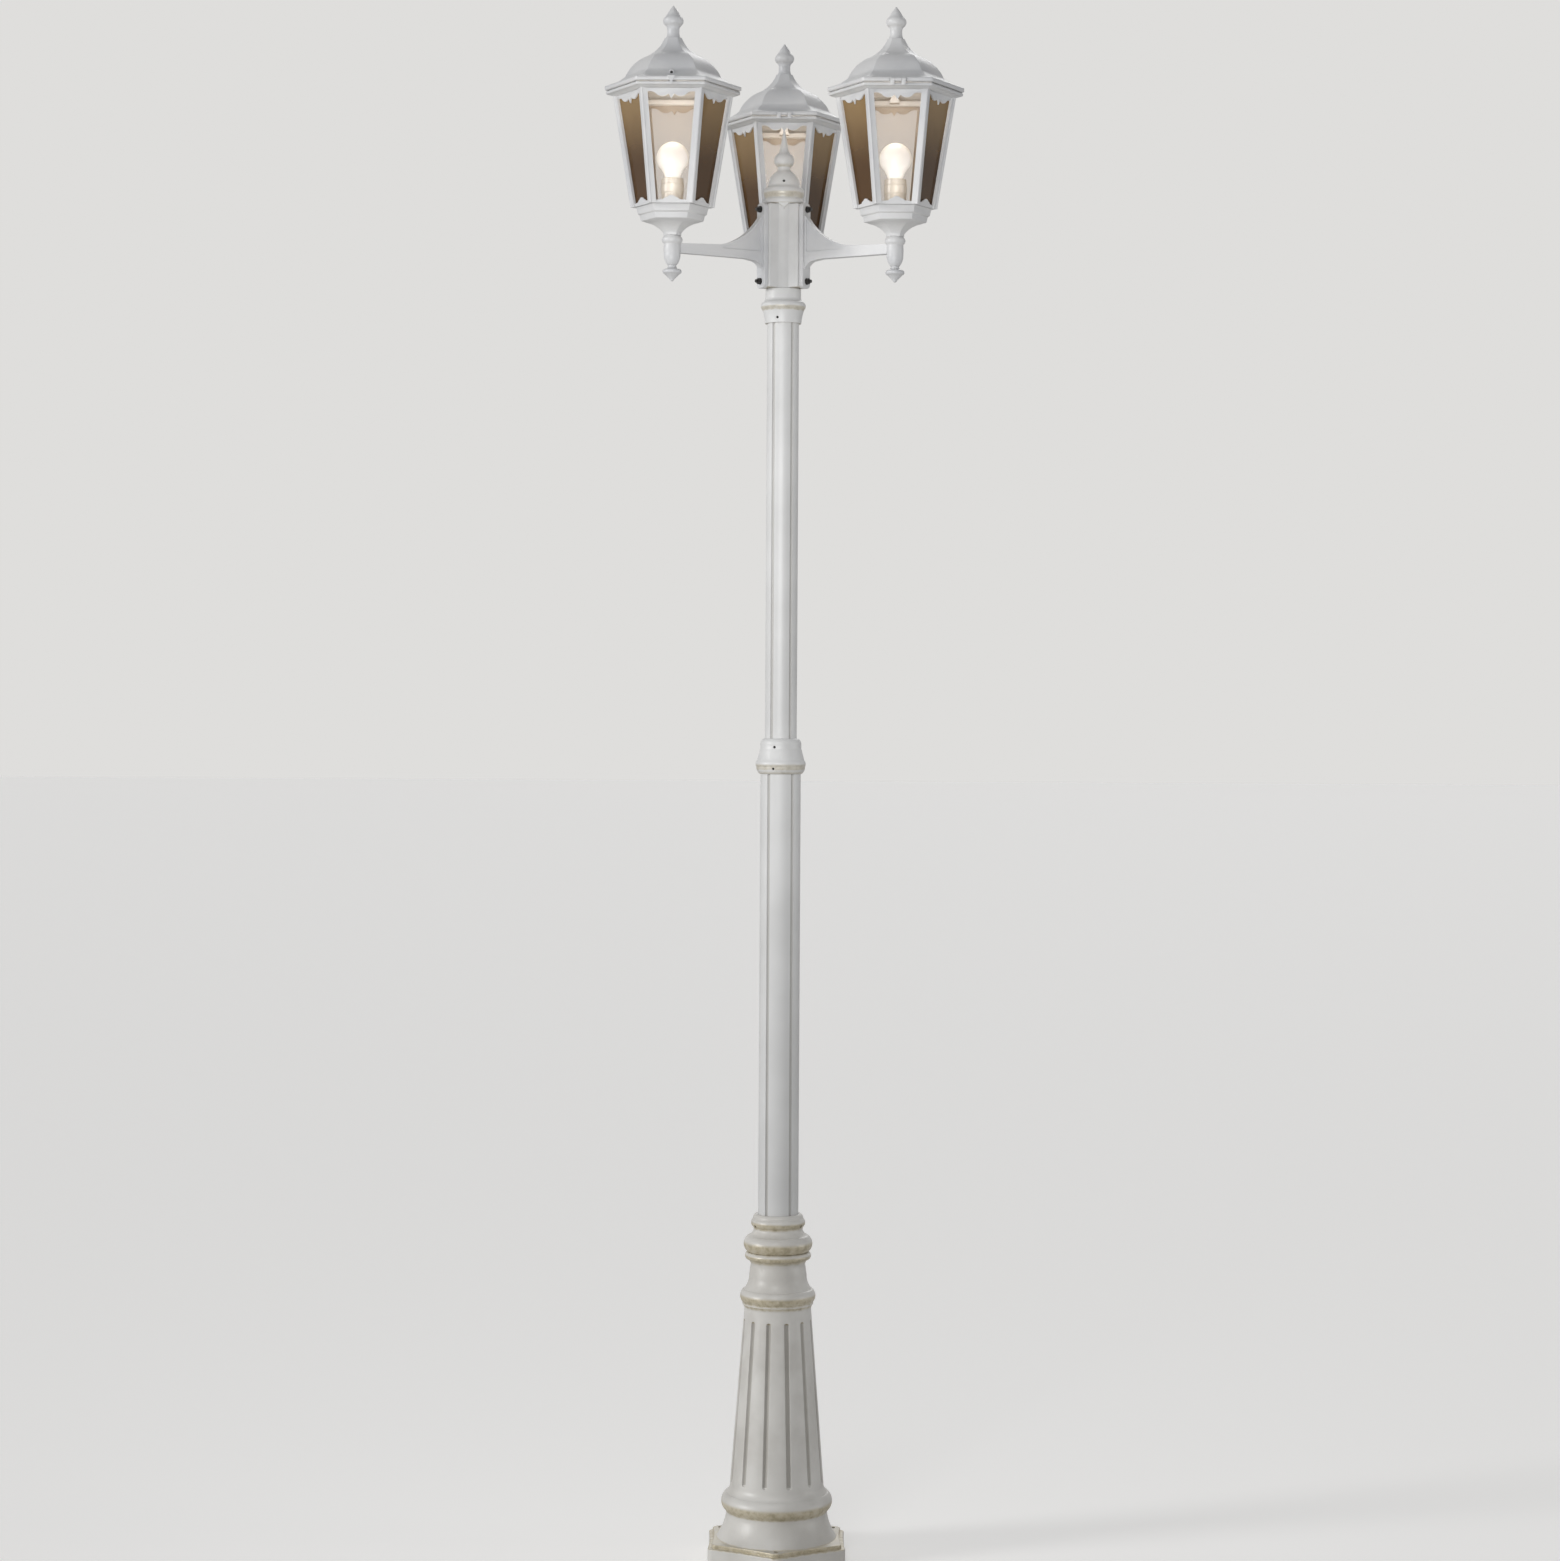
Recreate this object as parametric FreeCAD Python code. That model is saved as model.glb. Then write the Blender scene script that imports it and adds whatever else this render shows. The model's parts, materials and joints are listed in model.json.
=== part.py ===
import FreeCAD, Part
import math
import os

# Triple head lamp post.  Millimetres and degrees.  Z is up, the pole axis is X = Y = 0
# and the plinth stands on Z = 0.  The front of the post looks towards -Y.

# Heights of the joints between the castings and tubes
plinth_top = 40.0
collar_seam = 576.0
collar_top = 647.0
reducer_bottom = 1476.0
reducer_ledge = 1498.0
reducer_top = 1542.5
hub_bottom = 2324.0
hub_ledge = 2372.0
pad_bottom = 2390.0
pad_top = 2546.0
cap_seam = 2548.0
spire_tip = 2687.0

# Plinth outline: corners at 30 degrees and every 60 degrees from there
plinth_corner = 138.0
plinth_waist = 118.0
tier_step = 8.0
corner_turn = 4.0
tier_round = 2.0
anchor_circle_r = 124.0
anchor_hole_r = 4.5
anchor_angles = (30, 150, 270)

# Fluted column
column_foot_r = 88.0
column_head_r = 63.0
column_foot_z = 141.0
column_head_z = 468.0
flute_count = 12
flute_r = 5.0
flute_depth = 3.8

# Fluted tubes
lower_tube_r = 38.0
upper_tube_r = 30.0
tube_wall = 2.2
tube_groove_r = 3.4
tube_groove_count = 5
tube_groove_start = 270.0 - 36.0
lower_tube_foot = 506.0
upper_tube_foot = 1501.0
tube_fit = 0.3

# Hub and arms
arm_angles = {"left": 210.0, "right": 330.0, "rear": 90.0}
arm_reach = 238.0
core_r = 30.0
core_bore_r = 24.0
pad_face_r = 42.0
pad_width = 40.0
flange_thickness = 8.0
flange_width = 30.0
flange_bottom = 2388.0
flange_top = 2548.0
stud_heights = (2401.0, 2536.0)
stud_r = 3.0
stud_length = 26.0
nut_flats = 10.0
nut_height = 5.0
washer_r = 6.2
washer_thickness = 1.4
bar_z = 2450.0
bar_bottom = 2441.5
bar_top = 2458.5
web_thickness = 11.0
rim_thickness = 16.0
rim_height = 3.6
wire_bore_r = 4.0

# Stem, nipple and lower finial
stem_foot = 2418.0
stem_top = 2472.0
nipple_r = 5.0
nipple_bore_r = 3.7
nipple_foot = 2458.0
nipple_top = 2532.0
finial_spigot_r = 4.0

# Lantern, measured at the corners of its hexagons
pan_top = 2524.0
pan_floor = 4.0
cage_top = 2738.8
cage_foot_r = 75.9
cage_head_r = 110.9
post_width = 10.8
post_depth = 5.2
panel_recess = 2.6
panel_thickness = 2.8
glass_thickness = 2.5
glass_gap = 0.3
glass_from_ridge = 2.0
rim_r = 125.0
roof_foot = 2740.2
roof_rim_r = 127.7
roof_wall = 3.0
lantern_tip = 2898.0
hinge_reach = 113.0
hinge_z = 2743.0
knuckle_r = 3.4
hinge_pin_r = 1.5
hinge_clearance = 0.08
knuckle_half = 5.7
knuckle_gap = 0.5
lug_outer = 14.0
latch_screw_z = 2759.0
latch_reach = 71.0
latch_plate = 3.5
latch_gap = 1.4

# Bulb and lampholder
holder_foot = 2529.0
holder_top = 2578.0
holder_r = 21.2
bulb_top = 2646.0
bulb_r = 30.0
screw_cap_r = 13.2
thread_sleeve_r = 15.3

# Wiring
pole_cable_r = 4.5
lead_r = 2.5
lead_bend = 12.0
connector_r = 13.0
connector_height = 24.0
bracket_z = 78.0

cos30 = math.cos(math.radians(30))
tan30 = math.tan(math.radians(30))
origin = FreeCAD.Vector(0, 0, 0)
upward = FreeCAD.Vector(0, 0, 1)


# Basic forms

def polar(radius, angle, z=0.0):
    turn = math.radians(angle)
    return FreeCAD.Vector(radius * math.cos(turn), radius * math.sin(turn), z)


def spun(shape, angle):
    copy = shape.copy()
    copy.rotate(origin, upward, angle)
    return copy


def shifted(shape, offset):
    copy = shape.copy()
    copy.translate(offset)
    return copy


def rod(start, end, radius):
    run = end.sub(start)
    return Part.makeCylinder(radius, run.Length, start, run)


def block(low, high):
    size = FreeCAD.Vector(*high).sub(FreeCAD.Vector(*low))
    return Part.makeBox(size.x, size.y, size.z, FreeCAD.Vector(*low))


def one(shapes):
    return shapes[0].fuse(shapes[1:]).removeSplitter()


def upright_face(steps):
    # A step is a corner (r, z), or ((r, z), (r, z)): an arc through the first to the second.
    first = FreeCAD.Vector(steps[0][0], 0, steps[0][1])
    here = first
    edges = []
    for step in steps[1:]:
        if isinstance(step[0], tuple):
            through = FreeCAD.Vector(step[0][0], 0, step[0][1])
            there = FreeCAD.Vector(step[1][0], 0, step[1][1])
            edges.append(Part.Arc(here, through, there).toShape())
        else:
            there = FreeCAD.Vector(step[0], 0, step[1])
            edges.append(Part.LineSegment(here, there).toShape())
        here = there
    edges.append(Part.LineSegment(here, first).toShape())
    return Part.Face(Part.Wire(edges))


def turned(steps):
    return upright_face(steps).revolve(origin, upward, 360)


def hexagonal(steps):
    # The outline gives corner radii.  Each sixth is straight across and meets the next at a ridge.
    face = upright_face(steps)
    face = face.transformGeometry(scale_x(cos30))
    reach = 200.0
    slab = shifted(face, FreeCAD.Vector(0, -reach, 0)).extrude(FreeCAD.Vector(0, 2 * reach, 0))
    box = slab.BoundBox
    wedge_points = [(0, 0), (reach, reach * tan30), (reach, -reach * tan30)]
    wedge = flat_prism(wedge_points, box.ZMin - 1, box.ZMax + 1)
    sixth = slab.common(wedge)
    return one([spun(sixth, 30 + 60 * k) for k in range(6)])


def scale_x(factor):
    matrix = FreeCAD.Matrix()
    matrix.A11 = factor
    return matrix


def flat_prism(points, low, high):
    corners = [FreeCAD.Vector(x, y, low) for x, y in points]
    wire = Part.makePolygon(corners + corners[:1])
    return Part.Face(wire).extrude(FreeCAD.Vector(0, 0, high - low))


def hexagon_prism(corner_r, low, high):
    corners = [(corner_r * math.cos(math.radians(a)), corner_r * math.sin(math.radians(a)))
               for a in range(0, 360, 60)]
    return flat_prism(corners, low, high)


def rounded_hexagon(corner_r, round_r, low, high):
    prism = hexagon_prism(corner_r, low, high)
    upright = [e for e in prism.Edges if abs(e.Vertexes[0].Z - e.Vertexes[1].Z) > 1]
    return prism.makeFillet(round_r, upright)


# Pole castings

def hollow_sided_plate(corner_r, waist_r, low, high):
    edges = []
    shoulder_r = corner_r - 3.5
    for k in range(6):
        corner = 30 + 60 * k
        start = polar(shoulder_r, corner - corner_turn, low)
        tip = polar(corner_r, corner, low)
        end = polar(shoulder_r, corner + corner_turn, low)
        waist = polar(waist_r, corner + 30, low)
        following = polar(shoulder_r, corner + 60 - corner_turn, low)
        edges.append(Part.Arc(start, tip, end).toShape())
        edges.append(Part.Arc(end, waist, following).toShape())
    plate = Part.Face(Part.Wire(edges)).extrude(FreeCAD.Vector(0, 0, high - low))
    upper_edges = [e for e in plate.Edges if all(abs(v.Z - high) < 0.01 for v in e.Vertexes)]
    return plate.makeFillet(tier_round, upper_edges)


def base_casting():
    outer = turned([
        (0, plinth_top - 10), (113, plinth_top - 10), (113, plinth_top),
        ((101, 62), (95, 87)), (96.5, 91), ((104.3, 111), (97, 123.5)), (95, 123.5),
        ((90.2, 130), (column_foot_r, column_foot_z)), (column_head_r, column_head_z),
        ((64, 474), (66.8, 478)), (66.8, 482), ((71, 494), (66, 505.5)), (63.5, 506),
        ((56.3, 519), (54.2, 533)), (51.2, 554), (54.5, 561), ((62.3, 568.5), (57.5, collar_seam)),
        (0, collar_seam)])
    lower_tier = hollow_sided_plate(plinth_corner + tier_step, plinth_waist + tier_step, 0, plinth_top - 7.5)
    upper_tier = hollow_sided_plate(plinth_corner, plinth_waist, plinth_top - 12, plinth_top)
    casting = one([outer, lower_tier, upper_tier])
    bore = lower_tube_r + tube_fit
    hollow = turned([
        (0, -1), (108, -1), (108, 20), (104, 44), (88, 84), (88, 100), (81, column_foot_z),
        (56, column_head_z - 4), (33, 500), (33, lower_tube_foot), (bore, lower_tube_foot),
        (bore, collar_seam + 1), (0, collar_seam + 1)])
    casting = casting.cut(hollow)
    casting = casting.cut(Part.makeCompound(column_flutes()))
    ears = [rod(polar(anchor_circle_r, a, -1), polar(anchor_circle_r, a, plinth_top + 1), anchor_hole_r)
            for a in anchor_angles]
    casting = casting.cut(Part.makeCompound(ears))
    casting = casting.fuse(bracket_bosses()).removeSplitter()
    return casting.cut(Part.makeCompound(grub_holes("base")))


def column_flutes():
    grooves = []
    low_z = 150.0
    high_z = 446.0
    slope = (column_foot_r - column_head_r) / (column_head_z - column_foot_z)
    off = flute_r - flute_depth
    low_r = column_foot_r - slope * (low_z - column_foot_z) + off
    high_r = column_foot_r - slope * (high_z - column_foot_z) + off
    for k in range(flute_count):
        angle = 15 + k * 360.0 / flute_count
        low = polar(low_r, angle, low_z)
        high = polar(high_r, angle, high_z)
        ends = [Part.makeSphere(flute_r, low), Part.makeSphere(flute_r, high)]
        grooves.append(rod(low, high, flute_r).fuse(ends))
    return grooves


def bracket_bosses():
    outer = 94.0
    inner = 72.0
    return [block((-outer, -12, bracket_z - 14), (-inner, 12, bracket_z)),
            block((inner, -12, bracket_z - 14), (outer, 12, bracket_z))]


def base_collar():
    bore = lower_tube_r + tube_fit
    collar = turned([
        (bore, collar_seam + 0.6), (57.5, collar_seam + 0.6), ((64.8, 592), (57.5, 606)),
        ((50, 610.5), (46, 617.5)), (46.4, 622), ((51, 630), (47.4, 639)),
        ((46.2, 644), (43.5, collar_top)), (bore, collar_top)])
    return collar.cut(Part.makeCompound(grub_holes("collar")))


def fluted_tube(radius, foot, head):
    outside = Part.makeCylinder(radius, head - foot, FreeCAD.Vector(0, 0, foot))
    inside = Part.makeCylinder(radius - tube_wall, head - foot, FreeCAD.Vector(0, 0, foot))
    centre_r = radius + 0.6
    grooves = []
    ribs = []
    for k in range(tube_groove_count):
        angle = tube_groove_start + k * 360.0 / tube_groove_count
        low = polar(centre_r, angle, foot)
        high = polar(centre_r, angle, head)
        grooves.append(rod(low, high, tube_groove_r))
        ribs.append(rod(low, high, tube_groove_r + tube_wall))
    inside = inside.cut(Part.makeCompound(ribs))
    return outside.cut(inside).cut(Part.makeCompound(grooves))


def lower_tube():
    return fluted_tube(lower_tube_r, lower_tube_foot, reducer_ledge)


def upper_tube():
    return fluted_tube(upper_tube_r, upper_tube_foot, hub_ledge)


def reducer_collar():
    wide = lower_tube_r + tube_fit
    narrow = upper_tube_r + tube_fit
    collar = turned([
        (wide, reducer_bottom), (40, reducer_bottom), ((44.6, 1482), (46, 1489.5)),
        ((47.4, 1494.5), (46, 1499.5)), (44.4, 1501.5), (39.8, 1520), (38.7, 1523), (38.7, 1531),
        ((36.8, 1538.5), (31.6, reducer_top)), (narrow, reducer_top), (narrow, upper_tube_foot),
        (26, upper_tube_foot), (26, reducer_ledge), (wide, reducer_ledge)])
    return collar.cut(Part.makeCompound(grub_holes("reducer")))


def hub_body():
    socket = upper_tube_r + tube_fit
    shell = turned([
        (socket, hub_bottom), (34.2, hub_bottom), ((35.6, 2335), (39.5, 2350)),
        ((42.4, 2357), (39, 2364)), ((35.4, 2367), (33.6, 2372)), (33.6, pad_bottom - 2),
        (core_r, pad_bottom), (core_r, cap_seam), (core_bore_r, cap_seam), (core_bore_r, hub_ledge),
        (socket, hub_ledge)])
    pads = []
    wire_holes = []
    for angle in arm_angles.values():
        half = pad_width / 2
        pad = block((core_bore_r - 3, -half, pad_bottom), (pad_face_r, half, pad_top))
        corners = [e for e in pad.Edges if corner_edge(e, pad_face_r)]
        pads.append(spun(pad.makeFillet(2.0, corners), angle))
        wire_holes.append(rod(polar(10, angle, bar_z), polar(60, angle, bar_z), wire_bore_r))
    body = one([shell] + pads)
    body = body.cut(Part.makeCylinder(core_bore_r, cap_seam - hub_ledge, FreeCAD.Vector(0, 0, hub_ledge)))
    return body.cut(Part.makeCompound(wire_holes + stud_rods(0.0) + grub_holes("hub")))


def corner_edge(edge, face_x):
    ends = edge.Vertexes
    return all(abs(v.X - face_x) < 0.01 for v in ends)


def hub_cap():
    cap = turned([
        (0, cap_seam), (35.6, cap_seam), ((37.4, 2553), (35.6, 2558)), (34.6, 2559.5), (36, 2563),
        ((38.2, 2570.5), (35.8, 2578)), (32, 2580.5), (29.5, 2584), ((24.5, 2600), (15.5, 2610)),
        ((12.2, 2614), (12.4, 2619)), ((18.8, 2631.5), (12, 2644)), ((8.6, 2650), (7, 2658)),
        (1.6, spire_tip - 1.2), (0.7, spire_tip), (0, spire_tip)])
    spigot = turned([(20, cap_seam - 10), (23.6, cap_seam - 10), (23.6, cap_seam + 4), (20, cap_seam + 4)])
    hollow = turned([(0, cap_seam - 1), (20, cap_seam - 1), (20, 2584), (9, 2600), (0, 2600)])
    drops = []
    for angle in arm_angles.values():
        points = [(-10, cap_seam + 2), (10, cap_seam + 2), (8, cap_seam - 3), (2.2, cap_seam - 6.5),
                  (0, cap_seam - 12), (-2.2, cap_seam - 6.5), (-8, cap_seam - 3)]
        corners = [FreeCAD.Vector(core_r + 0.4, y, z) for y, z in points]
        drop = Part.Face(Part.makePolygon(corners + corners[:1])).extrude(FreeCAD.Vector(4.6, 0, 0))
        drops.append(spun(drop, angle + 180))
    cap = cap.cut(hollow)
    cap = one([cap, spigot] + drops)
    return cap.cut(Part.makeCompound(grub_holes("cap")))


# Set screws: place, axis angle, height, depth of the screw's tip and length
grub_places = (
    ("collar", 90, 626.0, lower_tube_r, 8.0),
    ("collar", 330, 626.0, lower_tube_r, 8.0),
    ("collar", 210, 626.0, lower_tube_r, 8.0),
    ("base", 90, 545.0, lower_tube_r, 9.0),
    ("reducer", 252, 1526.5, upper_tube_r, 6.5),
    ("reducer", 72, 1526.5, upper_tube_r, 6.5),
    ("reducer", 252, 1486.0, lower_tube_r, 5.0),
    ("hub", 252, 2333.0, upper_tube_r, 3.4),
    ("hub", 72, 2333.0, upper_tube_r, 3.4),
    ("cap", 270, 2589.5, 19.0, 6.5))
grub_r = 2.5


def grub_holes(place):
    holes = []
    for name, angle, z, tip, length in grub_places:
        if name == place:
            holes.append(rod(polar(tip - 6, angle, z), polar(tip + 40, angle, z), grub_r))
    return holes


def set_screws():
    screws = []
    for name, angle, z, tip, length in grub_places:
        screw = rod(polar(tip + 0.1, angle, z), polar(tip + length, angle, z), grub_r - 0.05)
        socket = rod(polar(tip + length - 2, angle, z), polar(tip + length + 1, angle, z), 1.2)
        screws.append(screw.cut(socket))
    return Part.makeCompound(screws)


# Arms, drawn along +X and then turned to their places

def arm_outline():
    foot = pad_face_r + flange_thickness - 1
    end = arm_reach
    return [(foot, 2418), ((foot + 6, 2431), (foot + 16, 2438)), (84, 2441), (end, bar_bottom),
            (end, bar_top), (140, 2463), ((88, 2484.5), (foot, 2527.5))]


def arm_pocket(side):
    inset = rim_height
    foot = pad_face_r + flange_thickness + 3.5
    low = bar_z + wire_bore_r + 2
    steps = [(foot, low), (132, low), (136, 2463 - inset), ((86, 2480), (foot, 2517))]
    depth = (rim_thickness - web_thickness) / 2
    face = upright_face(steps)
    start = rim_thickness / 2 - depth if side > 0 else -rim_thickness / 2 - 1
    return shifted(face, FreeCAD.Vector(0, start, 0)).extrude(FreeCAD.Vector(0, depth + 1, 0))


def stem():
    return turned([
        (0, stem_foot), (8.4, stem_foot), ((12.8, 2425), (15.4, 2440)), ((15.9, 2448), (15, 2457)),
        (16.8, 2459), ((19.2, 2464.5), (16.8, 2470)), (15.5, stem_top), (0, stem_top)])


def arm():
    half = rim_thickness / 2
    bracket = shifted(upright_face(arm_outline()), FreeCAD.Vector(0, -half, 0))
    bracket = bracket.extrude(FreeCAD.Vector(0, rim_thickness, 0))
    bracket = bracket.cut(Part.makeCompound([arm_pocket(1), arm_pocket(-1)]))
    inner = pad_face_r + 0.2
    outer = pad_face_r + flange_thickness
    flange = block((inner, -flange_width / 2, flange_bottom), (outer, flange_width / 2, flange_top))
    ends = [e for e in flange.Edges if flange_corner(e)]
    flange = flange.makeFillet(10.0, ends)
    face_edges = [e for e in flange.Edges if corner_edge(e, outer)]
    flange = flange.makeFillet(1.6, face_edges)
    upright = shifted(stem(), FreeCAD.Vector(arm_reach, 0, 0))
    casting = one([bracket, flange, upright])
    along = rod(FreeCAD.Vector(inner - 1, 0, bar_z), FreeCAD.Vector(arm_reach, 0, bar_z), wire_bore_r)
    elbow = Part.makeSphere(9.0, FreeCAD.Vector(arm_reach, 0, bar_z))
    rise = rod(FreeCAD.Vector(arm_reach, 0, bar_z), FreeCAD.Vector(arm_reach, 0, stem_top + 1), nipple_r)
    socket = rod(FreeCAD.Vector(arm_reach, 0, stem_foot - 1), FreeCAD.Vector(arm_reach, 0, stem_foot + 9),
                 finial_spigot_r)
    holes = [rod(FreeCAD.Vector(inner - 1, 0, z), FreeCAD.Vector(outer + 1, 0, z), stud_r + 0.4)
             for z in stud_heights]
    return casting.cut(Part.makeCompound([along, elbow, rise, socket] + holes))


def flange_corner(edge):
    ends = edge.Vertexes
    return abs(ends[0].X - ends[1].X) > 1


def lower_finial():
    return turned([
        (0, 2388), ((2.2, 2388.8), (4, 2391.5)), (14.5, 2402), ((17.7, 2406.5), (14.5, 2410.5)),
        ((9.5, 2412.5), (7.8, stem_foot - 0.3)), (finial_spigot_r - 0.1, stem_foot - 0.3),
        (finial_spigot_r - 0.1, stem_foot + 8), (0, stem_foot + 8)])


def stud_rods(shrink):
    tip_r = pad_face_r + flange_thickness + 10.5
    rods = []
    for angle in arm_angles.values():
        for z in stud_heights:
            rods.append(rod(polar(tip_r - stud_length, angle, z), polar(tip_r, angle, z), stud_r - shrink))
    return rods


def flange_studs():
    return Part.makeCompound(stud_rods(0.02))


def flange_washers():
    inner = pad_face_r + flange_thickness + 0.1
    ring = rod(FreeCAD.Vector(inner, 0, 0), FreeCAD.Vector(inner + washer_thickness, 0, 0), washer_r)
    ring = ring.cut(rod(FreeCAD.Vector(0, 0, 0), FreeCAD.Vector(90, 0, 0), stud_r + 0.2))
    return at_studs(ring)


def flange_nuts():
    inner = pad_face_r + flange_thickness + washer_thickness + 0.2
    corner_r = nut_flats / 2 / cos30
    nut = hexagon_prism(corner_r, 0, nut_height)
    crown = turned([(0, -1), (corner_r + 1, -1), (corner_r + 1, nut_height - 2),
                    (nut_flats / 2 - 0.2, nut_height), (0, nut_height)])
    nut = nut.common(crown)
    nut.rotate(origin, FreeCAD.Vector(0, 1, 0), 90)
    nut = shifted(nut, FreeCAD.Vector(inner, 0, 0))
    return at_studs(nut.cut(rod(FreeCAD.Vector(0, 0, 0), FreeCAD.Vector(90, 0, 0), stud_r + 0.02)))


def at_studs(piece):
    copies = []
    for angle in arm_angles.values():
        for z in stud_heights:
            copies.append(spun(shifted(piece, FreeCAD.Vector(0, 0, z)), angle))
    return Part.makeCompound(copies)


# Lantern, drawn round X = Y = 0 with its hinge towards +Y

def pan():
    steps = [
        (0, stem_top + 0.3), (17, stem_top + 0.3), (17, 2477), ((27, 2487), (46, 2495.5)), (52, 2497.5),
        (58, 2499), (60.5, 2509.5), (64, 2511.5), (66.4, 2521), (69, pan_top), (0, pan_top)]
    bowl = hexagonal(steps)
    ceiling = pan_top - pan_floor
    inside = hexagonal([(0, 2502), (42, 2502), (53, 2513), (56, ceiling), (0, ceiling)])
    bore = rod(FreeCAD.Vector(0, 0, stem_top - 1), FreeCAD.Vector(0, 0, pan_top + 1), nipple_r + 0.2)
    return bowl.cut(inside).cut(bore)


def cage_corner_r(z):
    share = (z - pan_top) / (cage_top - pan_top)
    return cage_foot_r + share * (cage_head_r - cage_foot_r)


def frustum(low_z, high_z, inset):
    drop = inset / cos30
    wires = []
    for z in (low_z, high_z):
        radius = cage_corner_r(z) - drop
        corners = [polar(radius, a, z) for a in range(0, 360, 60)]
        wires.append(Part.makePolygon(corners + corners[:1]))
    return Part.makeLoft(wires, True, True)


def corner_post():
    low = pan_top + 0.3
    wires = []
    for z in (low, cage_top):
        tip = cage_corner_r(z)
        left = FreeCAD.Vector(-0.5, math.sqrt(3) / 2, 0)
        right = FreeCAD.Vector(-0.5, -math.sqrt(3) / 2, 0)
        corner = FreeCAD.Vector(tip, 0, z)
        inner = FreeCAD.Vector(tip - post_depth / cos30, 0, z)
        inner_run = post_width - post_depth * tan30
        points = [corner, corner + left * post_width, inner + left * inner_run, inner,
                  inner + right * inner_run, corner + right * post_width]
        wires.append(Part.makePolygon(points + points[:1]))
    angle_bar = Part.makeLoft(wires, True, True)
    bead_r = 2.6
    start = FreeCAD.Vector(cage_corner_r(low) - 1.0, 0, low)
    end = FreeCAD.Vector(cage_corner_r(cage_top) - 1.0, 0, cage_top)
    bead = rod(start, end, bead_r)
    trimmed = bead.common(block((0, -20, low), (rim_r, 20, cage_top)))
    return angle_bar.fuse(trimmed)


def window():
    low = pan_top + 5.5
    low_half = cage_corner_r(low) / 2 - post_width + 0.5
    high = 2722.5
    high_half = cage_corner_r(high) / 2 - post_width + 0.5
    edges = [
        ((4.2, 2717.6), (5.6, 2719.2)),
        ((17, 2714.6), (29, 2720.2)),
        ((33, 2722.2), (high_half, high))]
    crest = [((9, low + 5.2), (7, low + 5.6)), ((4, low + 8.2), (0, low + 8.4))]
    right = [(0, 2709.5)] + edges + [(low_half, low), (15, low + 1.2)] + crest
    pane = upright_face(right)
    mirrored = pane.mirror(origin, FreeCAD.Vector(1, 0, 0))
    outline = one([pane, mirrored])
    return shifted(outline, FreeCAD.Vector(0, 40, 0)).extrude(FreeCAD.Vector(0, 80, 0))


def cage():
    shell = frustum(pan_top + 0.3, cage_top, panel_recess)
    shell = shell.cut(frustum(pan_top + 0.3, cage_top, panel_recess + panel_thickness))
    openings = [spun(window(), 60 * k) for k in range(6)]
    shell = shell.cut(Part.makeCompound(openings))
    top_ring = hexagonal([
        (100, 2730.5), (106.5, 2729), ((113, 2730.2), (118, 2733)), (rim_r - 2, 2733),
        ((rim_r, 2736), (rim_r - 2, cage_top)), (100, cage_top)])
    top_ring = top_ring.common(rounded_hexagon(rim_r + 0.5, 9.0, 2720, 2745))
    foot_ring = hexagonal([
        (60, pan_top + 0.3), (72.5, pan_top + 0.3), (73.2, pan_top + 4), (60, pan_top + 4)])
    posts = [spun(corner_post(), 60 * k) for k in range(6)]
    frame = one([shell, top_ring, foot_ring] + posts + cage_lugs() + [latch_lug()])
    frame = frame.cut(hinge_rod(hinge_pin_r - 0.02))
    hole = rod(FreeCAD.Vector(0, -90, latch_screw_z), FreeCAD.Vector(0, -60, latch_screw_z), 2.0)
    return frame.cut(hole)


def hinge_rod(radius):
    start = FreeCAD.Vector(-lug_outer, hinge_reach, hinge_z)
    end = FreeCAD.Vector(lug_outer, hinge_reach, hinge_z)
    return rod(start, end, radius)


def cage_lugs():
    lugs = []
    for side in (-1, 1):
        near = side * (knuckle_half + knuckle_gap)
        far = side * lug_outer
        low_x, high_x = min(near, far), max(near, far)
        start = FreeCAD.Vector(low_x, hinge_reach, hinge_z)
        end = FreeCAD.Vector(high_x, hinge_reach, hinge_z)
        barrel = rod(start, end, knuckle_r)
        web = block((low_x, 103, 2733), (high_x, hinge_reach + 1.5, cage_top))
        neck = block((low_x, hinge_reach - 2.2, cage_top - 2), (high_x, hinge_reach + 2.2, hinge_z))
        lugs.append(barrel.fuse([web, neck]))
    return lugs


def latch_lug():
    inner = latch_plate - latch_reach
    foot = block((-9, -90, 2733), (9, inner, cage_top))
    plate = block((-7, -latch_reach, 2733), (7, inner, latch_screw_z + 4))
    return foot.fuse(plate)


def glass_panes():
    low = pan_top + 4.3
    high = 2728.0
    depth = panel_recess + panel_thickness + glass_gap
    shell = frustum(low, high, depth).cut(frustum(low, high, depth + glass_thickness))
    panes = []
    for k in range(6):
        middle = 30 + 60 * k
        inner_wedge = []
        for z in (low - 1, high + 1):
            apex = polar(glass_from_ridge / math.sin(math.radians(30)), middle, z)
            left = apex + polar(200, middle + 30)
            right = apex + polar(200, middle - 30)
            inner_wedge.append(Part.makePolygon([apex, left, right, apex]))
        panes.append(shell.common(Part.makeLoft(inner_wedge, True, True)))
    return Part.makeCompound(panes)


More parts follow.
